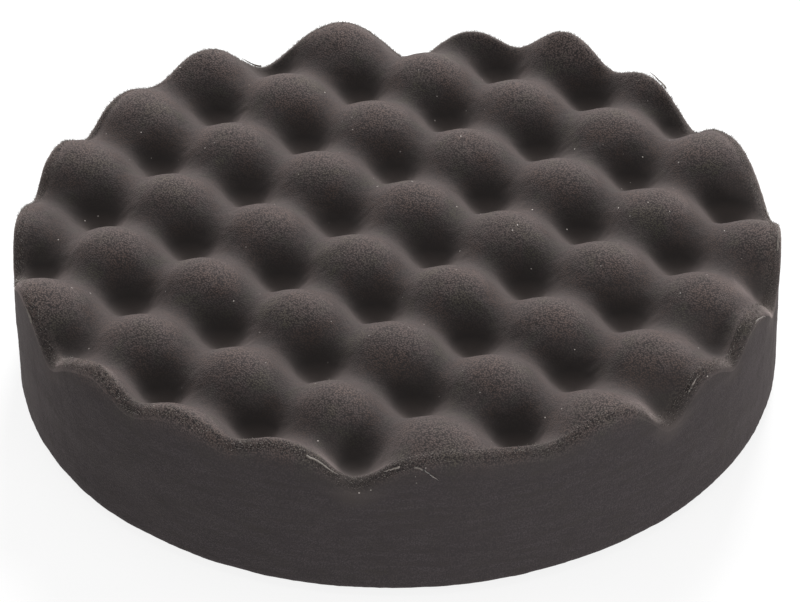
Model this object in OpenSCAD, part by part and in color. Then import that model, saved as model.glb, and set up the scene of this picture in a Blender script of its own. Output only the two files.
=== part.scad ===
// Foam polishing pad with a dimpled face and a loop backing.
// A die-cut disc of egg-crate foam is glued to a smaller disc of loop fabric.
// Millimetres. The origin is the centre of the loop face and +Z points out of the dimpled face.

/* [Foam disc] */
// Diameter of the foam
pad_d = 203.2; // [150:0.1:230]
// Mean height of the dimpled face above the foam's base
face_mean_h = 36.1; // [26:0.1:45]
// Chamfer that stands for the soft bottom edge
edge_chamfer = 1; // [0.5:0.1:3]

/* [Dimpled face] */
// Distance from one dimple to the next along a row
dimple_pitch = 28.9; // [20:0.1:40]
// Depth from the top of a hump to the bottom of a dimple
dimple_depth = 12.8; // [6:0.1:20]
// How much the humps are broader than the dimples, 0 for equal
hump_fullness = 0.13; // [0:0.01:0.4]
// How much steeper the sides are than a plain wave's, below 0 for gentler
side_steepness = -0.1; // [-0.3:0.01:0.3]
// How much deeper one set of rows is pressed than the set across it
row_unevenness = -0.11; // [-0.3:0.01:0.3]
// Lift where two rows cross, as a share of half the depth
crossing_lift = -0.034; // [-0.1:0.001:0.1]
// How much the tops are flattened and the dimples narrowed
top_flatness = 0.035; // [0:0.001:0.1]
// Angle from +X to a row of dimples
row_angle = -31.35; // [-90:0.05:90]
// Place of the hump nearest to the centre, along the rows
hump_shift_along = -3.3; // [-20:0.05:20]
// Place of the same hump, across the rows
hump_shift_across = -13.95; // [-20:0.05:20]
// Rings of facets from the centre to the rim
face_rings = 34; // [16:1:38]

/* [Rim of the face] */
// Width of the rim that the punch squeezed
rim_w = 15.2; // [5:0.1:25]
// How much the humps swell at the back of the rim
back_rim_swell = 0.25; // [-0.3:0.01:0.4]
// How much they swell at the front of it, below 0 where they shrink
front_rim_swell = -0.18; // [-0.3:0.01:0.4]
// Lift of the whole rim at the front, as a share of half the depth
front_rim_lift = 0.43; // [0:0.01:0.6]

/* [Loop backing] */
// Diameter of the backing layers
backing_d = 190; // [140:0.5:200]
// Thickness of the glue film between foam and fabric
film_t = 0.4; // [0.2:0.1:1]
// Thickness of the knitted ground of the loop fabric
fabric_t = 0.6; // [0.4:0.1:1.5]
// Height of the loops under the ground
pile_h = 1.4; // [0.8:0.1:3]

/* [Hidden] */
fabric_z = pile_h;
film_z = fabric_z + fabric_t;
foam_z = film_z + film_t;
pad_r = pad_d / 2;
swing = dimple_depth / 2;
face_mean_z = foam_z + face_mean_h;
rim_start = pad_r - rim_w;
round_fn = 180;
ring_sides = 6;
rim_points = ring_sides * face_rings;
// Places on the rim that stand up or sag further: angle from +X, rise and width
rim_spots = [
    [8, -4, 14],
    [30, 2, 9],
    [60, 3, 11],
    [108, 2, 9],
    [132, 2.5, 9],
    [150, 2, 8],
    [172, -4, 14],
    [199, 1.5, 8],
    [212, 5, 7],
    [221, 2.5, 8],
    [311, -1.5, 8],
    [331, 6, 7],
    [343, -2.5, 8]
];
foam_colour = "#4a4242";
film_colour = "#d8cfae";
fabric_colour = "#2c2b2d";
pile_colour = "#38373a";

// Two crossed waves, about -1 in a dimple and 1 on a hump
function crossed_waves(u, v) =
    let(
        along = cos(360 * u / dimple_pitch),
        across = cos(360 * v / dimple_pitch),
        second = cos(720 * u / dimple_pitch) + cos(720 * v / dimple_pitch),
        w = ((1 + row_unevenness) * along + (1 - row_unevenness) * across) / 2
    )
    w
        + (hump_fullness + side_steepness * w) * (1 - w * w)
        + crossing_lift * along * across
        - top_flatness * second;

// 0 inside the rim, 1 at the edge, with a smooth way between
function rim_share(r) =
    let(t = min(1, max(0, (r - rim_start) / rim_w)))
    t * t * (3 - 2 * t);

// Rise of all the rim spots together over a point
function spots_rise(x, y) =
    let(
        rises = [
            for (spot = rim_spots)
                let(away = norm([x - pad_r * cos(spot[0]), y - pad_r * sin(spot[0])]) / spot[2])
                    spot[1] * exp(-away * away)
        ]
    )
    rises * [for (rise = rises) 1];

// Height of the dimpled face over a point
function face_z(x, y) =
    let(
        u = x * cos(row_angle) + y * sin(row_angle) - hump_shift_along,
        v = y * cos(row_angle) - x * sin(row_angle) - hump_shift_across,
        w = crossed_waves(u, v),
        r = max(norm([x, y]), 1),
        to_back = (1 + y / r) / 2,
        swell = front_rim_swell + (back_rim_swell - front_rim_swell) * to_back,
        rim_wave = swell * max(0, w) + front_rim_lift * (1 - to_back)
    )
    face_mean_z + swing * (w + rim_share(r) * rim_wave) + spots_rise(x, y);

// Point k of ring i. Ring i has six points more than the ring inside it
function face_point(i, k) =
    let(
        r = pad_r * i / face_rings,
        x = r * cos(360 * k / (ring_sides * i)),
        y = r * sin(360 * k / (ring_sides * i))
    )
    [x, y, face_z(x, y)];

// Place of point k of ring i in the list of face points
function face_index(i, k) = i == 0 ? 0 : 1 + ring_sides / 2 * i * (i - 1) + k % (ring_sides * i);

// Level circle with as many points as the rim
function level_ring(r, z) = [
    for (k = [0:rim_points - 1])
        [r * cos(360 * k / rim_points), r * sin(360 * k / rim_points), z]
];

// Two triangles between each pair of neighbours on two rings of the wall
function band(upper, lower) = [
    for (k = [0:rim_points - 1])
        for (half = [0, 1])
            let(next = (k + 1) % rim_points)
                half == 0
                    ? [upper + k, lower + next, lower + k]
                    : [upper + k, upper + next, lower + next]
];

// Egg-crate foam, cut to a disc
module foam_body() {
    face_points = concat(
        [[0, 0, face_z(0, 0)]],
        [for (i = [1:face_rings]) for (k = [0:ring_sides * i - 1]) face_point(i, k)]
    );
    rim_index = face_index(face_rings, 0);
    wall_start = len(face_points);
    base_start = wall_start + rim_points;
    // Triangles with their base on the outer ring
    outward = [
        for (i = [1:face_rings])
            for (side = [0:ring_sides - 1])
                for (j = [0:i - 1])
                    [
                        face_index(i - 1, side * (i - 1) + j),
                        face_index(i, side * i + j + 1),
                        face_index(i, side * i + j)
                    ]
    ];
    // Triangles with their base on the inner ring
    inward = [
        for (i = [2:face_rings])
            for (side = [0:ring_sides - 1])
                for (j = [0:i - 2])
                    [
                        face_index(i - 1, side * (i - 1) + j),
                        face_index(i - 1, side * (i - 1) + j + 1),
                        face_index(i, side * i + j + 1)
                    ]
    ];
    base = [[for (k = [0:rim_points - 1]) base_start + k]];
    color(foam_colour)
        polyhedron(
            points = concat(
                face_points,
                level_ring(pad_r, foam_z + edge_chamfer),
                level_ring(pad_r - edge_chamfer, foam_z)
            ),
            faces = concat(
                outward,
                inward,
                band(rim_index, wall_start),
                band(wall_start, base_start),
                base
            ),
            convexity = 10
        );
}

// One round layer of the backing
module backing_layer(z, thickness) {
    translate([0, 0, z])
        cylinder(h = thickness, d = backing_d, $fn = round_fn);
}

// Glue that holds the loop fabric on the foam
module adhesive_film() {
    color(film_colour)
        backing_layer(film_z, film_t);
}

// Knitted ground that the loops stand on
module backing_fabric() {
    color(fabric_colour)
        backing_layer(fabric_z, fabric_t);
}

// Space that the loops fill, down to the face that grips a hook plate
module loop_pile() {
    color(pile_colour)
        backing_layer(0, pile_h);
}

foam_body();
adhesive_film();
backing_fabric();
loop_pile();
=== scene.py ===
# Foam polishing pad: its looks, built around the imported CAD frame. Metres, +Z up.
# The foam stands on three thin backing layers: glue, knitted ground and loops.

import math
import random

import bpy
from mathutils import Matrix, Vector, noise


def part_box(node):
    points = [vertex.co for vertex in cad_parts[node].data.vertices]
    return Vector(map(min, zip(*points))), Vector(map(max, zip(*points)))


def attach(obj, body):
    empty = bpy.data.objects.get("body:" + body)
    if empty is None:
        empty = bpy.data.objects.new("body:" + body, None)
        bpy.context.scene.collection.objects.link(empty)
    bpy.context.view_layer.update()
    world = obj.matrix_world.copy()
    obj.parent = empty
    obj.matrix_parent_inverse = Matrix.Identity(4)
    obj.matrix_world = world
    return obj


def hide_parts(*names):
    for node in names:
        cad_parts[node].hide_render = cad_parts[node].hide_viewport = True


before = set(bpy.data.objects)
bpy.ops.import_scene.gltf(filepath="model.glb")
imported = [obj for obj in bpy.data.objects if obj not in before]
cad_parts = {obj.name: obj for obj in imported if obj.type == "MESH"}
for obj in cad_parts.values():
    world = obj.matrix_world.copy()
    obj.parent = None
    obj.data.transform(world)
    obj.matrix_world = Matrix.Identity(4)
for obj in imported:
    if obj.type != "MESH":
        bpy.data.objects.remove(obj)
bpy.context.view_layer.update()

MM = 0.001
BODY = "root"

# ---------------------------------------------------------------- sizes from the frame
foam_low, foam_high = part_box("foam_body")
fabric_low, fabric_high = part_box("backing_fabric")
pile_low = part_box("loop_pile")[0]
PAD_RADIUS = (foam_high.x - foam_low.x) / 2
BACKING_RADIUS = (fabric_high.x - fabric_low.x) / 2

# ---------------------------------------------------------------- the dimpled face
FOAM_MEAN_HEIGHT = 36.1 * MM
FACE_MEAN_Z = foam_low.z + FOAM_MEAN_HEIGHT
DIMPLE_PITCH = 28.9 * MM
DIMPLE_DEPTH = 12.8 * MM
HUMP_FULLNESS = 0.13
SIDE_STEEPNESS = -0.1
# One set of rows is pressed deeper than the set across it
ROW_UNEVENNESS = -0.11
CROSSING_LIFT = -0.034
TOP_FLATNESS = 0.035
ROW_ANGLE = math.radians(-31.35)
HUMP_SHIFT_ALONG = -3.3 * MM
HUMP_SHIFT_ACROSS = -13.95 * MM
# The knife and the rollers leave each dimple a little different
DRIFT_SEED = 7
DRIFT_SIZE = 2.2 * DIMPLE_PITCH
PLACE_DRIFT = 0.5 * MM
DEPTH_DRIFT = 0.06
# The punch squeezes the rim: humps swell at the back of it, and the front of it stands up as a whole
RIM_WIDTH = 15.2 * MM
BACK_RIM_SWELL = 0.25
FRONT_RIM_SWELL = -0.18
FRONT_RIM_LIFT = 0.43
# Places on the rim that stand up or sag further: degrees from +X, then rise and width in mm
RIM_SPOTS = [
    (8, -4, 14),
    (30, 2, 9),
    (60, 3, 11),
    (108, 2, 9),
    (132, 2.5, 9),
    (150, 2, 8),
    (172, -4, 14),
    (199, 1.5, 8),
    (212, 5, 7),
    (221, 2.5, 8),
    (311, -1.5, 8),
    (331, 6, 7),
    (343, -2.5, 8),
]

# ---------------------------------------------------------------- the foam mesh
FACE_RINGS = 136
# Each ring of points has this many more of them than the ring inside it
RING_SIDES = 6
AROUND = RING_SIDES * FACE_RINGS
LIP_RADIUS = 3 * MM
LIP_STEPS = 8
FACE_RADIUS = PAD_RADIUS - LIP_RADIUS
WALL_STEP = 1.1 * MM
FOOT_RADIUS = 0.9 * MM
FOOT_STEPS = 3
# The wall bows in and out a little, over places that are wider than they are high
WALL_WAVE = 0.25 * MM
WALL_WAVE_SIZE = 22 * MM
WALL_WAVE_SQUASH = 2.5
# Lumps and crumbs of the cut surface. The shift keeps the crumbs from following the lumps
LUMP_SIZE = 7 * MM
LUMP_HEIGHT = 0.16 * MM
CRUMB_SIZE = 1.6 * MM
CRUMB_HEIGHT = 0.09 * MM
CRUMB_SHIFT = Vector((9, 4, 7))
# Name of the value kept at each point: 0 on the face, 1 on the wall, LIP_SHARE on the lip between them
WALL_SHARE = "wall_share"
LIP_SHARE = 0.35
LIP_FADE_IN = 3 * MM
LIP_FADE_DOWN = 8 * MM

# ---------------------------------------------------------------- torn foam on the rim
SHRED_SEED = 3
SHRED_SIDES = 3
SHRED_TAPER = 0.6
FUZZ_COUNT = 9000
FUZZ_LENGTH = 0.9 * MM
FUZZ_SHORTEST = 0.35
FUZZ_WIDTH = 0.12 * MM
FUZZ_LEAN = 0.8
# How far round the lip the fuzz grows, where half of pi is the whole lip
FUZZ_ROLL = 0.35 * math.pi
# Root, bend and tip along a bit of fuzz, whose root is sunk in the foam
FUZZ_JOINTS = (-0.3, 0.4, 1)
SHRED_WIDTH = 0.65 * MM
SHRED_STEPS = 9
SHRED_CURL = 1.5
# Shreds that hang start lower on the lip than shreds that stand
HANGING_ROLL = 1.1
STANDING_ROLL = 0.6
# Each step of a shred is off its line by some kinks, upwards and outwards
SHRED_KINK = 0.12 * MM
KINKS_UP = (1, 3)
KINKS_OUT = (2, 4)
# Degrees from +X, then length round the rim and rise of the free end in mm
LONG_SHREDS = [
    (257, 8, 1.0),
    (272, 6, -5.5),
    (270, -4, 0.5),
    (316, 4, 0.8),
    (334, 9, -2.0),
    (352, 7, 1.5),
    (9, -9, 0.6),
    (203, -6, -1.5),
    (186, 7, 0.6),
    (112, 6, 0.6),
    (41, 7, 0.8),
]

# ---------------------------------------------------------------- the knitted ground
DISC_RINGS = 24
DISC_SIDES = 180
# The die-cut edge wavers a little, and that fades by this power of the radius towards the middle
EDGE_WAVE = 0.2 * MM
EDGE_WAVE_FADE = 8
# The waver is read from the noise along a circle of this radius, at this level
NOISE_CIRCLE = 9
NOISE_LEVEL = 15

# ---------------------------------------------------------------- the loops
LOOP_SEED = 5
LOOP_SPACING = 2.3 * MM
LOOP_JITTER = 0.45 * MM
LOOP_WIDTH = 1.3 * MM
LOOP_LEAN = 0.5 * MM
LOOP_SHORTEST = 0.75
LOOP_RINGS = 6
YARN_RADIUS = 0.13 * MM
YARN_SIDES = 3
# The middle of the longest loop's yarn stays this far above the lowest point of the pile
LOOP_CLEARANCE = 1.5 * YARN_RADIUS

# ---------------------------------------------------------------- the foam's grain, its painted glints and painted lip highlight
PORE_SIZE = 0.45 * MM
BLOTCH_SIZE = 9 * MM
GLINT_SPACING = 4.6 * MM
GLINT_SHARE = 0.045
GRAIN_SIZE = 0.4 * MM
GRAIN_HEIGHT = 0.2 * MM
DRAG_LINE_LENGTH = 9 * MM
DRAG_LINE_STRETCH = 7
# Strength of the painted highlight along the lip
LIP_HIGHLIGHT_PALENESS = 0.14
TORN_PATCH_SIZE = 1.5 * MM
FACE_SHEEN = 0.32
WALL_SHEEN = 0.1

# ---------------------------------------------------------------- grain of the backing
BUBBLE_SPACING = 1.2 * MM
BUBBLE_HEIGHT = 0.1 * MM
FLOW_SIZE = 6 * MM
WALE_SPACING = 0.9 * MM
COURSE_SPACING = 0.7 * MM
STITCH_HEIGHT = 0.2 * MM
# Filaments are 0.02 mm thick, and are drawn coarser so that they show
FILAMENT_STREAK = 0.15 * MM
FILAMENT_HEIGHT = 0.05 * MM

# ---------------------------------------------------------------- sockets of a Mix node set to RGBA
FACTOR, COLOUR_A, COLOUR_B = 0, 6, 7
MIXED = 2

# ---------------------------------------------------------------- camera and light
CAMERA_ELEVATION = math.radians(35.8)
CAMERA_ROLL = math.radians(-0.98)
CAMERA_DISTANCE = 1.026
CAMERA_LENS = 172.2
CAMERA_AIM = Vector((0.8 * MM, 0, foam_low.z + 15.2 * MM))
# Name, place, side, power in watts and the point the lamp faces
LAMPS = [
    ("key", (0.2, 1.1, 0.88), 0.5, 26, (0, 0, 0)),
    ("left_fill", (-0.9, 1.0, 0.4), 0.5, 1.0, (0, 0, 0)),
    ("overhead", (0, 0, 1.6), 1.0, 5, (0, 0, 0)),
    ("wall_fill", (0.75, -1.1, 0.1), 0.25, 8, (0, 0, 0.02)),
]
ROOM_LIGHT = 0.32
FLOOR_REACH = 4
WHITE = (1, 1, 1, 1)


def linear(hex_colour):
    """sRGB hex to the linear colour that the shaders take."""
    channels = [int(hex_colour[i : i + 2], 16) / 255 for i in (1, 3, 5)]
    return [c / 12.92 if c <= 0.04045 else ((c + 0.055) / 1.055) ** 2.4 for c in channels] + [1.0]


def mesh_object(name, points, faces):
    """A smooth mesh, linked to the scene."""
    mesh = bpy.data.meshes.new(name)
    mesh.from_pydata(points, [], faces)
    mesh.validate()
    mesh.shade_smooth()
    piece = bpy.data.objects.new(name, mesh)
    bpy.context.scene.collection.objects.link(piece)
    return piece


# ---------------------------------------------------------------- shape of the face
def crossed_waves(u, v):
    """About -1 at the bottom of a dimple and 1 on top of a hump."""
    turn = 2 * math.pi / DIMPLE_PITCH
    along, across = math.cos(u * turn), math.cos(v * turn)
    wave = ((1 + ROW_UNEVENNESS) * along + (1 - ROW_UNEVENNESS) * across) / 2
    wave += (HUMP_FULLNESS + SIDE_STEEPNESS * wave) * (1 - wave * wave)
    wave += CROSSING_LIFT * along * across
    return wave - TOP_FLATNESS * (math.cos(2 * u * turn) + math.cos(2 * v * turn))


def rim_squeeze(x, y, wave):
    """What the squeezed rim adds to the wave at a point. It is nothing further in than the rim's width."""
    r = max(math.hypot(x, y), MM)
    t = min(1, max(0, (r - PAD_RADIUS + RIM_WIDTH) / RIM_WIDTH))
    near_rim = t * t * (3 - 2 * t)
    to_back = (1 + y / r) / 2
    swell = FRONT_RIM_SWELL + (BACK_RIM_SWELL - FRONT_RIM_SWELL) * to_back
    return near_rim * (swell * max(0, wave) + FRONT_RIM_LIFT * (1 - to_back))


def rim_spot_rise(x, y):
    """How far the places that stand up or sag move a point of the face."""
    height = 0
    for degrees, rise, width in RIM_SPOTS:
        angle = math.radians(degrees)
        gap = math.hypot(x - PAD_RADIUS * math.cos(angle), y - PAD_RADIUS * math.sin(angle))
        height += rise * MM * math.exp(-((gap / (width * MM)) ** 2))
    return height


def face_height(x, y):
    """Height of the dimpled face, with the drift of real cut foam."""
    drift = noise.noise_vector(Vector((x, y, 0)) / DRIFT_SIZE)
    x, y = x + PLACE_DRIFT * drift.x, y + PLACE_DRIFT * drift.y
    u = x * math.cos(ROW_ANGLE) + y * math.sin(ROW_ANGLE) - HUMP_SHIFT_ALONG
    v = y * math.cos(ROW_ANGLE) - x * math.sin(ROW_ANGLE) - HUMP_SHIFT_ACROSS
    wave = crossed_waves(u, v)
    wave += rim_squeeze(x, y, wave)
    depth = DIMPLE_DEPTH * (1 + DEPTH_DRIFT * drift.z)
    return FACE_MEAN_Z + wave * depth / 2 + rim_spot_rise(x, y)


# ---------------------------------------------------------------- foam pad
def ring_index(i, k):
    """Place of point k of face ring i in the list of points."""
    if i == 0:
        return 0
    return 1 + RING_SIDES * i * (i - 1) // 2 + k % (RING_SIDES * i)


def face_points():
    """Points of the face ring by ring from the middle out, and the wall share of each."""
    points = [Vector((0, 0, face_height(0, 0)))]
    wall_share = [0.0]
    for i in range(1, FACE_RINGS + 1):
        r = FACE_RADIUS * i / FACE_RINGS
        for k in range(RING_SIDES * i):
            a = 2 * math.pi * k / (RING_SIDES * i)
            x, y = r * math.cos(a), r * math.sin(a)
            points.append(Vector((x, y, face_height(x, y))))
            wall_share.append(LIP_SHARE * max(0, 1 - (FACE_RADIUS - r) / LIP_FADE_IN))
    return points, wall_share


def face_triangles():
    """Triangles between each face ring and the one inside it."""
    faces = []
    for i in range(1, FACE_RINGS + 1):
        for side in range(RING_SIDES):
            for j in range(i):
                inner = ring_index(i - 1, side * (i - 1) + j)
                outer = ring_index(i, side * i + j)
                outer_next = ring_index(i, side * i + j + 1)
                faces.append((inner, outer, outer_next))
                if j < i - 1:
                    faces.append((inner, outer_next, ring_index(i - 1, side * (i - 1) + j + 1)))
    return faces


def wall_profile(top_z):
    """Radius and height of each level under the face at one place on the rim."""
    levels = []
    for step in range(1, LIP_STEPS + 1):
        a = math.pi / 2 * step / LIP_STEPS
        levels.append((FACE_RADIUS + LIP_RADIUS * math.sin(a), top_z - LIP_RADIUS * (1 - math.cos(a))))
    rows = round(FOAM_MEAN_HEIGHT / WALL_STEP)
    wall_top = top_z - LIP_RADIUS
    wall_bottom = foam_low.z + FOOT_RADIUS
    for row in range(1, rows):
        levels.append((PAD_RADIUS, wall_top + (wall_bottom - wall_top) * row / rows))
    for step in range(FOOT_STEPS + 1):
        a = math.pi / 2 * step / FOOT_STEPS
        r = PAD_RADIUS - FOOT_RADIUS * (1 - math.cos(a))
        levels.append((r, wall_bottom - FOOT_RADIUS * math.sin(a)))
    levels.append((BACKING_RADIUS, foam_low.z))
    return levels


def add_wall_points(points, wall_share):
    """Adds the lip, the wall and the foot under the face's last ring, level by level."""
    rim = points[ring_index(FACE_RINGS, 0) :]
    columns = [wall_profile(point.z) for point in rim]
    for level in range(len(columns[0])):
        for k, column in enumerate(columns):
            a = 2 * math.pi * k / AROUND
            r, z = column[level]
            points.append(Vector((r * math.cos(a), r * math.sin(a), z)))
            drop = column[0][1] - z
            wall_share.append(LIP_SHARE + (1 - LIP_SHARE) * min(1, drop / LIP_FADE_DOWN))
    return len(columns[0])


def wall_faces(levels):
    """Quads between the levels, from the face's last ring down, and the flat underside."""
    faces = []
    above = ring_index(FACE_RINGS, 0)
    for _ in range(levels):
        below = above + AROUND
        for k in range(AROUND):
            n = (k + 1) % AROUND
            faces.append((above + k, below + k, below + n, above + n))
        above = below
    faces.append(tuple(above + k for k in reversed(range(AROUND))))
    return faces


def unevenness(point):
    """How far the cut surface stands out or in at a point."""
    lumps = noise.noise(point / LUMP_SIZE)
    crumbs = noise.noise(point / CRUMB_SIZE + CRUMB_SHIFT)
    return LUMP_HEIGHT * lumps + CRUMB_HEIGHT * crumbs


def roughen(piece, points):
    """Gives the cut surface its lumps and the wall its bow. The two flat levels under it stay true."""
    normals = [normal.vector.copy() for normal in piece.data.vertex_normals]
    for i in range(len(points) - 2 * AROUND):
        point = points[i] + normals[i] * unevenness(points[i])
        if math.hypot(point.x, point.y) > FACE_RADIUS + LIP_RADIUS / 2:
            squashed = Vector((point.x, point.y, WALL_WAVE_SQUASH * point.z))
            point.xy *= 1 + WALL_WAVE * noise.noise(squashed / WALL_WAVE_SIZE) / PAD_RADIUS
        points[i] = point
    piece.data.vertices.foreach_set("co", [value for point in points for value in point])


def make_foam():
    """The foam in one piece: the dimpled face, a rounded lip, the wall, the foot and the underside."""
    points, wall_share = face_points()
    faces = face_triangles()
    wall_from = len(faces) + LIP_STEPS * AROUND
    levels = add_wall_points(points, wall_share)
    faces += wall_faces(levels)
    piece = mesh_object("foam_pad", points, faces)
    for polygon in piece.data.polygons[wall_from:]:
        polygon.material_index = 1
    roughen(piece, points)
    piece.data.attributes.new(WALL_SHARE, "FLOAT", "POINT").data.foreach_set("value", wall_share)
    piece.data.update()
    return piece


# ---------------------------------------------------------------- torn foam
def rim_spot(angle, roll):
    """Point on the lip at an angle round the rim. Roll is 0 where the lip leaves the face."""
    z = face_height(FACE_RADIUS * math.cos(angle), FACE_RADIUS * math.sin(angle))
    z -= LIP_RADIUS * (1 - math.cos(roll))
    r = FACE_RADIUS + LIP_RADIUS * math.sin(roll)
    return Vector((r * math.cos(angle), r * math.sin(angle), z))


def fuzz_path(draw):
    """Root, bend and tip of one bit of fuzz, which stands off the lip and leans along the rim."""
    angle = draw.uniform(0, 2 * math.pi)
    roll = draw.uniform(0, FUZZ_ROLL)
    root = rim_spot(angle, roll)
    out = Vector((math.cos(angle), math.sin(angle), 0))
    lean = Vector((-math.sin(angle), math.cos(angle), 0)) * draw.uniform(-FUZZ_LEAN, FUZZ_LEAN)
    reach = (out * math.sin(roll) + lean + Vector((0, 0, math.cos(roll)))).normalized()
    length = draw.uniform(FUZZ_SHORTEST, 1) ** 2 * FUZZ_LENGTH
    return [root + share * length * reach for share in FUZZ_JOINTS]


def long_shred_path(draw, degrees, length, rise):
    """Path of one long shred round the rim. Its free end curls up or hangs down by the rise."""
    roll = HANGING_ROLL if rise < 0 else STANDING_ROLL
    path = []
    for step in range(SHRED_STEPS + 1):
        along = step / SHRED_STEPS
        spot = rim_spot(math.radians(degrees) + length * MM * along / PAD_RADIUS, roll)
        spot.z += rise * MM * along**SHRED_CURL + draw.uniform(*KINKS_UP) * SHRED_KINK
        spot.xy *= 1 + draw.uniform(*KINKS_OUT) * SHRED_KINK / PAD_RADIUS
        path.append(spot)
    return path


def add_shred(points, faces, path, width):
    """One torn strand of foam: a three-sided strip that narrows to a point along its path."""
    start = len(points)
    for i, centre in enumerate(path[:-1]):
        forward = (path[i + 1] - centre).normalized()
        side = forward.orthogonal().normalized()
        up = forward.cross(side)
        radius = width / 2 * (1 - i / (len(path) - 1)) ** SHRED_TAPER
        for corner in range(SHRED_SIDES):
            b = 2 * math.pi * corner / SHRED_SIDES
            points.append(centre + (side * math.cos(b) + up * math.sin(b)) * radius)
    tip = len(points)
    points.append(path[-1])
    for low in range(start, tip - SHRED_SIDES, SHRED_SIDES):
        high = low + SHRED_SIDES
        for corner in range(SHRED_SIDES):
            n = (corner + 1) % SHRED_SIDES
            faces.append((low + corner, low + n, high + n, high + corner))
    last = tip - SHRED_SIDES
    faces += [(last + corner, last + (corner + 1) % SHRED_SIDES, tip) for corner in range(SHRED_SIDES)]
    faces.append(tuple(start + corner for corner in reversed(range(SHRED_SIDES))))


def make_shreds():
    """Fuzz of torn cell walls along the rim, and a few long shreds that the knife left there."""
    draw = random.Random(SHRED_SEED)
    points, faces = [], []
    for _ in range(FUZZ_COUNT):
        add_shred(points, faces, fuzz_path(draw), FUZZ_WIDTH)
    for degrees, length, rise in LONG_SHREDS:
        add_shred(points, faces, long_shred_path(draw, degrees, length, rise), SHRED_WIDTH)
    return mesh_object("torn_rim_shreds", points, faces)


# ---------------------------------------------------------------- backing
def disc_with_edge(name, low_z, high_z, radius):
    """Thin round layer with a die-cut edge that isn't quite true."""
    points, faces = [], []
    for side_z in (high_z, low_z):
        for i in range(1, DISC_RINGS + 1):
            for k in range(DISC_SIDES):
                a = 2 * math.pi * k / DISC_SIDES
                share = i / DISC_RINGS
                circle = Vector((NOISE_CIRCLE * math.cos(a), NOISE_CIRCLE * math.sin(a), NOISE_LEVEL))
                r = radius * share + EDGE_WAVE * share**EDGE_WAVE_FADE * noise.noise(circle)
                points.append((r * math.cos(a), r * math.sin(a), side_z))
    half = DISC_RINGS * DISC_SIDES
    for i in range(DISC_RINGS - 1):
        for k in range(DISC_SIDES):
            inner, outer, n = i * DISC_SIDES, (i + 1) * DISC_SIDES, (k + 1) % DISC_SIDES
            top = (inner + k, outer + k, outer + n, inner + n)
            faces.append(top)
            faces.append(tuple(half + corner for corner in reversed(top)))
    top_edge, low_edge = half - DISC_SIDES, 2 * half - DISC_SIDES
    for k in range(DISC_SIDES):
        n = (k + 1) % DISC_SIDES
        faces.append((top_edge + k, low_edge + k, low_edge + n, top_edge + n))
    faces.append(tuple(range(DISC_SIDES)))
    faces.append(tuple(half + k for k in reversed(range(DISC_SIDES))))
    return mesh_object(name, points, faces)


def add_loop(points, faces, root, turn, lean, fall):
    """One yarn loop: half a ring that hangs from its root and leans to one side, closed at both ends."""
    along = Vector((math.cos(turn), math.sin(turn), 0))
    across = Vector((-along.y, along.x, 0))
    start = len(points)
    for ring in range(LOOP_RINGS):
        a = math.pi * ring / (LOOP_RINGS - 1)
        swell = math.sin(a)
        centre = root + along * (LOOP_WIDTH / 2 * math.cos(a)) + across * (lean * swell)
        centre.z -= fall * swell
        outward = along * math.cos(a) - Vector((0, 0, swell))
        for corner in range(YARN_SIDES):
            b = 2 * math.pi * corner / YARN_SIDES
            points.append(centre + (outward * math.cos(b) + across * math.sin(b)) * YARN_RADIUS)
    last = len(points) - YARN_SIDES
    for low in range(start, last, YARN_SIDES):
        high = low + YARN_SIDES
        for corner in range(YARN_SIDES):
            n = (corner + 1) % YARN_SIDES
            faces.append((low + corner, low + n, high + n, high + corner))
    faces.append(tuple(start + corner for corner in reversed(range(YARN_SIDES))))
    faces.append(tuple(last + corner for corner in range(YARN_SIDES)))


def make_loops():
    """Yarn loops that hang from the knitted ground, in rows that the knitting leaves a little uneven."""
    draw = random.Random(LOOP_SEED)
    points, faces = [], []
    row_step = LOOP_SPACING * math.sqrt(3) / 2
    rows = math.ceil(BACKING_RADIUS / row_step)
    top_z = fabric_low.z + YARN_RADIUS
    drop = top_z - pile_low.z - LOOP_CLEARANCE
    for row in range(-rows, rows + 1):
        for column in range(-rows, rows + 1):
            x = (column + row % 2 / 2) * LOOP_SPACING + draw.uniform(-1, 1) * LOOP_JITTER
            y = row * row_step + draw.uniform(-1, 1) * LOOP_JITTER
            turn = draw.uniform(0, math.pi)
            lean = draw.uniform(-1, 1) * LOOP_LEAN
            fall = drop * draw.uniform(LOOP_SHORTEST, 1)
            if math.hypot(x, y) <= BACKING_RADIUS - LOOP_WIDTH:
                add_loop(points, faces, Vector((x, y, top_z)), turn, lean, fall)
    return mesh_object("loop_yarns", points, faces)


# ---------------------------------------------------------------- materials
def add(tree, kind, inputs=None, **properties):
    """Adds a node, sets its properties, and sets each named input or links another node's output to it."""
    node = tree.nodes.new(kind)
    for name, value in properties.items():
        setattr(node, name, value)
    for name, value in (inputs or {}).items():
        if isinstance(value, bpy.types.NodeSocket):
            tree.links.new(value, node.inputs[name])
        else:
            node.inputs[name].default_value = value
    return node


def new_material(name):
    """An empty material and its node tree."""
    material = bpy.data.materials.new(name)
    material.use_nodes = True
    material.node_tree.nodes.clear()
    return material, material.node_tree


def foam_cells(tree, place):
    """Open cells of the foam: 0 down in a pore and 1 on the tip of a cut strut."""
    pores = add(tree, "ShaderNodeTexVoronoi", {"Vector": place, "Scale": 1 / PORE_SIZE})
    rounded = {"Value": pores.outputs["Distance"], "From Min": 0.7, "From Max": 0.1}
    return add(tree, "ShaderNodeMapRange", rounded).outputs[0]


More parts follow.
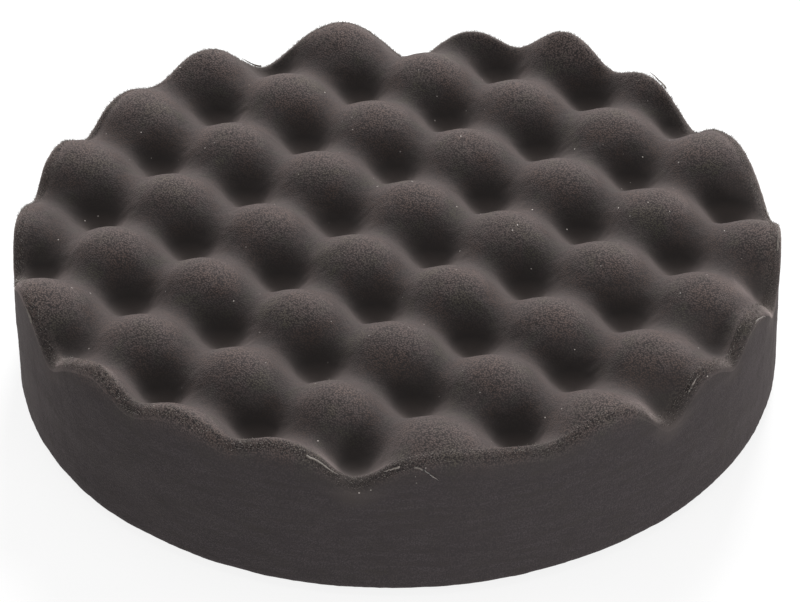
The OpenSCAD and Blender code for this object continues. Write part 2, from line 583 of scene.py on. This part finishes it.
def painted_glints(tree, place, wall):
    """Painted glints: small points of different strength painted into the face's colour, for struts that
    lie as mirrors.
    """
    cells = add(tree, "ShaderNodeTexVoronoi", {"Vector": place, "Scale": 1 / GLINT_SPACING})
    middle = {0: cells.outputs["Distance"], 1: GLINT_SHARE}
    caught = add(tree, "ShaderNodeMath", middle, operation="LESS_THAN").outputs[0]
    strength = add(tree, "ShaderNodeSeparateColor", {"Color": cells.outputs["Color"]}).outputs[0]
    lit = add(tree, "ShaderNodeMath", {0: caught, 1: strength}, operation="MULTIPLY").outputs[0]
    off_wall = add(tree, "ShaderNodeMath", {0: 1.0, 1: wall}, operation="SUBTRACT").outputs[0]
    return add(tree, "ShaderNodeMath", {0: lit, 1: off_wall}, operation="MULTIPLY").outputs[0]


def lip_highlight_share(tree, wall_share, cells):
    """Painted highlight along the lip: strongest in the middle of the lip, and seen on the tips of the
    struts.
    """
    off_lip = add(tree, "ShaderNodeMath", {0: wall_share, 1: LIP_SHARE}, operation="SUBTRACT").outputs[0]
    off_lip = add(tree, "ShaderNodeMath", {0: off_lip}, operation="ABSOLUTE").outputs[0]
    fade = {"Value": off_lip, "From Min": LIP_SHARE, "From Max": 0, "To Max": LIP_HIGHLIGHT_PALENESS}
    fade = add(tree, "ShaderNodeMapRange", fade, interpolation_type="SMOOTHSTEP").outputs[0]
    return add(tree, "ShaderNodeMath", {0: fade, 1: cells}, operation="MULTIPLY").outputs[0]


def face_level(share):
    """Height on the face: about 0.5 on top of a hump, 0 at the mean and -0.5 on the floor of a dimple."""
    return FACE_MEAN_Z + share * DIMPLE_DEPTH


def slit_face_colour(tree, height, dimple_shade_and_openness, cells, blotches):
    """The dimpled face: a dark nap with reddish and olive patches, with painted light on the hump tops and
    dimple floors, and painted shade low in the dimples.
    """
    # Painted light: the hump tops are painted paler
    painted_top_light = {"Value": height, "From Min": face_level(0.15), "From Max": face_level(0.5), "To Max": 0.5}
    painted_top_light = add(tree, "ShaderNodeMapRange", painted_top_light).outputs[0]
    floor = {"Value": height, "From Min": face_level(-0.3), "From Max": face_level(-0.48)}
    floor = add(tree, "ShaderNodeMapRange", floor).outputs[0]
    warm = {"Value": blotches, "From Min": 0.42, "From Max": 0.62}
    warm = add(tree, "ShaderNodeMapRange", warm).outputs[0]
    olive = {"Value": blotches, "From Min": 0.48, "From Max": 0.34}
    olive = add(tree, "ShaderNodeMapRange", olive).outputs[0]
    colour = linear("#4a4445")
    for factor, hex_colour in ((warm, "#52443f"), (olive, "#4b493f"), (painted_top_light, "#847570")):
        mix = {FACTOR: factor, COLOUR_A: colour, COLOUR_B: linear(hex_colour)}
        colour = add(tree, "ShaderNodeMix", mix, data_type="RGBA").outputs[MIXED]
    # The bottoms of the pores are dark, and the lower part of each dimple is painted darker: painted shade
    for factor, hex_colour in ((cells, "#312d2d"), (dimple_shade_and_openness, "#353130")):
        mix = {FACTOR: factor, COLOUR_A: linear(hex_colour), COLOUR_B: colour}
        colour = add(tree, "ShaderNodeMix", mix, data_type="RGBA").outputs[MIXED]
    # The very floor of a dimple is smoother, and painted a little paler again: painted light
    mix = {FACTOR: floor, COLOUR_A: colour, COLOUR_B: linear("#46403e")}
    return add(tree, "ShaderNodeMix", mix, data_type="RGBA").outputs[MIXED]


def die_cut_wall_shaded_colour(tree, place, cells, blotches):
    """The punched wall: closer and smoother than the face, with faint drag lines along the cut, and
    painted darker than the face as painted shade.
    """
    drag_place = add(tree, "ShaderNodeMapping", {"Vector": place, "Scale": (1, 1, DRAG_LINE_STRETCH)})
    lines = {"Vector": drag_place.outputs[0], "Scale": 1 / DRAG_LINE_LENGTH, "Detail": 5, "Roughness": 0.6}
    drag = add(tree, "ShaderNodeTexNoise", lines).outputs[0]
    patch = {"Value": blotches, "From Min": 0.3, "From Max": 0.7}
    patch = add(tree, "ShaderNodeMapRange", patch).outputs[0]
    line = {"Value": drag, "From Min": 0.35, "From Max": 0.65}
    line = add(tree, "ShaderNodeMapRange", line).outputs[0]
    # Painted shade: these wall colours are darker than the face's, standing for the shade on the wall
    mix = {FACTOR: patch, COLOUR_A: linear("#35312d"), COLOUR_B: linear("#373133")}
    colour = add(tree, "ShaderNodeMix", mix, data_type="RGBA").outputs[MIXED]
    mix = {FACTOR: line, COLOUR_A: colour, COLOUR_B: linear("#443e40")}
    colour = add(tree, "ShaderNodeMix", mix, data_type="RGBA").outputs[MIXED]
    mix = {FACTOR: cells, COLOUR_A: linear("#312d2e"), COLOUR_B: colour}
    return add(tree, "ShaderNodeMix", mix, data_type="RGBA").outputs[MIXED]


def cut_relief(tree, place, cells, coarseness):
    """Relief of the cut cells, which the rollers pressed flat where the foam is less coarse."""
    fine = {"Vector": place, "Scale": 1 / GRAIN_SIZE, "Detail": 2, "Roughness": 0.7}
    grain = add(tree, "ShaderNodeTexNoise", fine).outputs[0]
    relief = add(tree, "ShaderNodeMath", {0: cells, 1: grain}, operation="ADD").outputs[0]
    relief = add(tree, "ShaderNodeMath", {0: relief, 1: coarseness}, operation="MULTIPLY").outputs[0]
    bump = {"Height": relief, "Strength": 0.3, "Distance": GRAIN_HEIGHT}
    return add(tree, "ShaderNodeBump", bump).outputs[0]


def cut_foam(name, sheen_weight):
    """Open-cell polyurethane foam, slit by a band knife on the face and cut by a punch on the wall.

    The slit cells give a dull, dark nap that goes pale at a low angle. The rollers squeezed the floors
    of the dimples, so they are closer and smoother than the humps. The colour holds painted light: paler
    hump tops and dimple floors, darker lower dimples and wall as painted shade, and a paler lip as a
    painted highlight."""
    material, tree = new_material(name)
    place = add(tree, "ShaderNodeTexCoord").outputs["Object"]
    height = add(tree, "ShaderNodeSeparateXYZ", {"Vector": place}).outputs["Z"]
    share = add(tree, "ShaderNodeAttribute", attribute_name=WALL_SHARE).outputs["Fac"]
    wall = add(tree, "ShaderNodeMapRange", {"Value": share, "From Min": LIP_SHARE}).outputs[0]
    # Painted shade: this share paints the lower part of each dimple darker, and also smooths the grain
    # there
    dimple_shade_and_openness = {"Value": height, "From Min": face_level(-0.3), "From Max": face_level(0.25)}
    dimple_shade_and_openness = add(tree, "ShaderNodeMapRange", dimple_shade_and_openness).outputs[0]
    coarseness = add(tree, "ShaderNodeMath", {0: dimple_shade_and_openness, 1: wall}, operation="MAXIMUM").outputs[0]
    cells = foam_cells(tree, place)
    patches = {"Vector": place, "Scale": 1 / BLOTCH_SIZE, "Detail": 3, "Roughness": 0.6}
    blotches = add(tree, "ShaderNodeTexNoise", patches).outputs[0]
    colour = slit_face_colour(tree, height, dimple_shade_and_openness, cells, blotches)
    shaded_wall = die_cut_wall_shaded_colour(tree, place, cells, blotches)
    painted_lip_light = lip_highlight_share(tree, share, cells)
    painted_glint = painted_glints(tree, place, wall)
    # Painted light in the colour: the wall's painted shade, the painted highlight of the lip and painted
    # glints
    for factor, other in ((wall, shaded_wall), (painted_lip_light, linear("#8a7f78")), (painted_glint, linear("#c8c0ba"))):
        mix = {FACTOR: factor, COLOUR_A: colour, COLOUR_B: other}
        colour = add(tree, "ShaderNodeMix", mix, data_type="RGBA").outputs[MIXED]
    relief = cut_relief(tree, place, cells, coarseness)
    dull = {"Base Color": colour, "Normal": relief, "Roughness": 0.95, "Specular IOR Level": 0.2}
    nap = {"Sheen Weight": sheen_weight, "Sheen Roughness": 0.45, "Sheen Tint": linear("#efdad5")}
    shader = add(tree, "ShaderNodeBsdfPrincipled", {**dull, **nap})
    add(tree, "ShaderNodeOutputMaterial", {"Surface": shader.outputs[0]})
    return material


def torn_foam():
    """Torn cell walls of the foam: thin enough for light from behind to glow through them."""
    material, tree = new_material("torn_foam_cell_walls")
    place = add(tree, "ShaderNodeTexCoord").outputs["Object"]
    patches = {"Vector": place, "Scale": 1 / TORN_PATCH_SIZE, "Detail": 2}
    patches = add(tree, "ShaderNodeTexNoise", patches).outputs[0]
    mix = {FACTOR: patches, COLOUR_A: linear("#6a615c"), COLOUR_B: linear("#bab2aa")}
    colour = add(tree, "ShaderNodeMix", mix, data_type="RGBA").outputs[MIXED]
    matte = {"Base Color": colour, "Roughness": 0.7, "Sheen Weight": 0.3}
    front = add(tree, "ShaderNodeBsdfPrincipled", matte)
    through = add(tree, "ShaderNodeBsdfTranslucent", {"Color": colour})
    shader = add(tree, "ShaderNodeMixShader", {0: 0.4, 1: front.outputs[0], 2: through.outputs[0]})
    add(tree, "ShaderNodeOutputMaterial", {"Surface": shader.outputs[0]})
    return material


def hot_melt_glue():
    """Hot-melt glue film, pressed while soft: pale amber gone dull, with small trapped bubbles."""
    material, tree = new_material("hot_melt_glue_film")
    place = add(tree, "ShaderNodeTexCoord").outputs["Object"]
    bubbles = add(tree, "ShaderNodeTexVoronoi", {"Vector": place, "Scale": 1 / BUBBLE_SPACING}).outputs[0]
    flow = {"Vector": place, "Scale": 1 / FLOW_SIZE, "Detail": 3}
    flow = add(tree, "ShaderNodeTexNoise", flow).outputs[0]
    mix = {FACTOR: flow, COLOUR_A: linear("#b8ad92"), COLOUR_B: linear("#d8cfae")}
    colour = add(tree, "ShaderNodeMix", mix, data_type="RGBA").outputs[MIXED]
    bump = add(tree, "ShaderNodeBump", {"Height": bubbles, "Strength": 0.4, "Distance": BUBBLE_HEIGHT})
    film = {"Base Color": colour, "Normal": bump.outputs[0], "Roughness": 0.35, "IOR": 1.48}
    shader = add(tree, "ShaderNodeBsdfPrincipled", film)
    add(tree, "ShaderNodeOutputMaterial", {"Surface": shader.outputs[0]})
    return material


def knitted_nylon():
    """Warp-knitted nylon: columns of stitches give fine ribs, and each course crosses them with a step."""
    material, tree = new_material("warp_knitted_nylon")
    place = add(tree, "ShaderNodeTexCoord").outputs["Object"]
    waves = []
    for direction, spacing in (("X", WALE_SPACING), ("Y", COURSE_SPACING)):
        # One period of the wave texture is 2 pi / 20 of a unit long at scale 1
        band = {"Vector": place, "Scale": math.pi / 10 / spacing, "Distortion": 0.6, "Detail": 1}
        waves.append(add(tree, "ShaderNodeTexWave", band, bands_direction=direction).outputs["Fac"])
    stitches = add(tree, "ShaderNodeMath", {0: waves[0], 1: waves[1]}, operation="MULTIPLY").outputs[0]
    mix = {FACTOR: stitches, COLOUR_A: linear("#222124"), COLOUR_B: linear("#454347")}
    colour = add(tree, "ShaderNodeMix", mix, data_type="RGBA").outputs[MIXED]
    bump = add(tree, "ShaderNodeBump", {"Height": stitches, "Strength": 0.6, "Distance": STITCH_HEIGHT})
    knit = {"Base Color": colour, "Normal": bump.outputs[0], "Roughness": 0.8, "IOR": 1.53}
    shader = add(tree, "ShaderNodeBsdfPrincipled", {**knit, "Sheen Weight": 0.3})
    add(tree, "ShaderNodeOutputMaterial", {"Surface": shader.outputs[0]})
    return material


def nylon_yarn():
    """Textured nylon filament yarn: the fine filaments give a soft streaky shine along each loop."""
    material, tree = new_material("textured_nylon_yarn")
    place = add(tree, "ShaderNodeTexCoord").outputs["Object"]
    filaments = {"Vector": place, "Scale": 1 / FILAMENT_STREAK, "Detail": 3, "Roughness": 0.7}
    streaks = add(tree, "ShaderNodeTexNoise", filaments).outputs[0]
    mix = {FACTOR: streaks, COLOUR_A: linear("#454348"), COLOUR_B: linear("#8a878c")}
    colour = add(tree, "ShaderNodeMix", mix, data_type="RGBA").outputs[MIXED]
    bump = add(tree, "ShaderNodeBump", {"Height": streaks, "Strength": 0.5, "Distance": FILAMENT_HEIGHT})
    yarn = {"Base Color": colour, "Normal": bump.outputs[0], "Roughness": 0.5, "IOR": 1.53}
    shader = add(tree, "ShaderNodeBsdfPrincipled", {**yarn, "Sheen Weight": 0.2})
    add(tree, "ShaderNodeOutputMaterial", {"Surface": shader.outputs[0]})
    return material


def light_table():
    """Opal acrylic light table: lit from below, so that hardly any shadow stays on it."""
    material, tree = new_material("opal_acrylic_light_table")
    opal = {"Base Color": linear("#6c6c6c"), "Roughness": 0.8}
    lit = {"Emission Color": WHITE, "Emission Strength": 0.86}
    shader = add(tree, "ShaderNodeBsdfPrincipled", {**opal, **lit})
    add(tree, "ShaderNodeOutputMaterial", {"Surface": shader.outputs[0]})
    return material


# ---------------------------------------------------------------- studio
def make_camera():
    """Camera in front of the pad and above it, turned a little round its own axis."""
    data = bpy.data.cameras.new("camera")
    data.lens = CAMERA_LENS
    camera = bpy.data.objects.new("camera", data)
    bpy.context.scene.collection.objects.link(camera)
    back = Vector((0, -math.cos(CAMERA_ELEVATION), math.sin(CAMERA_ELEVATION)))
    place = Matrix.Translation(CAMERA_AIM + CAMERA_DISTANCE * back)
    tilt = Matrix.Rotation(math.pi / 2 - CAMERA_ELEVATION, 4, "X")
    camera.matrix_world = place @ tilt @ Matrix.Rotation(CAMERA_ROLL, 4, "Z")
    bpy.context.scene.camera = camera


def make_lamp(name, place, side, power, aim):
    """Square soft lamp that the camera doesn't see."""
    data = bpy.data.lights.new(name, "AREA")
    data.size = side
    data.energy = power
    lamp = bpy.data.objects.new(name, data)
    lamp.visible_camera = False
    lamp.location = place
    lamp.rotation_euler = (Vector(aim) - Vector(place)).to_track_quat("-Z", "Y").to_euler()
    bpy.context.scene.collection.objects.link(lamp)


def make_studio():
    """Lamps, an even white room and the floor."""
    for name, place, side, power, aim in LAMPS:
        make_lamp(name, place, side, power, aim)
    world = bpy.data.worlds.new("studio")
    world.use_nodes = True
    world.node_tree.nodes["Background"].inputs["Color"].default_value = WHITE
    world.node_tree.nodes["Background"].inputs["Strength"].default_value = ROOM_LIGHT
    bpy.context.scene.world = world
    bpy.context.scene.view_settings.view_transform = "Standard"
    corners = [(FLOOR_REACH * x, FLOOR_REACH * y, 0) for x, y in ((-1, -1), (1, -1), (1, 1), (-1, 1))]
    floor = mesh_object("floor", corners, [(0, 1, 2, 3)])
    floor.data.materials.append(light_table())


make_camera()
make_studio()

# The vector noise behind the drift starts from the clock unless it is given a seed
noise.seed_set(DRIFT_SEED)

foam = make_foam()
foam.data.materials.append(cut_foam("slit_foam_face", FACE_SHEEN))
foam.data.materials.append(cut_foam("die_cut_foam_wall", WALL_SHEEN))
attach(foam, BODY)
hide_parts("foam_body")

shreds = make_shreds()
shreds.data.materials.append(torn_foam())
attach(shreds, BODY)

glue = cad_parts["adhesive_film"]
glue.data.materials.clear()
glue.data.materials.append(hot_melt_glue())

fabric = disc_with_edge("loop_fabric_ground", fabric_low.z, fabric_high.z, BACKING_RADIUS)
fabric.data.materials.append(knitted_nylon())
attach(fabric, BODY)
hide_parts("backing_fabric")

loops = make_loops()
loops.data.materials.append(nylon_yarn())
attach(loops, BODY)
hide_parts("loop_pile")
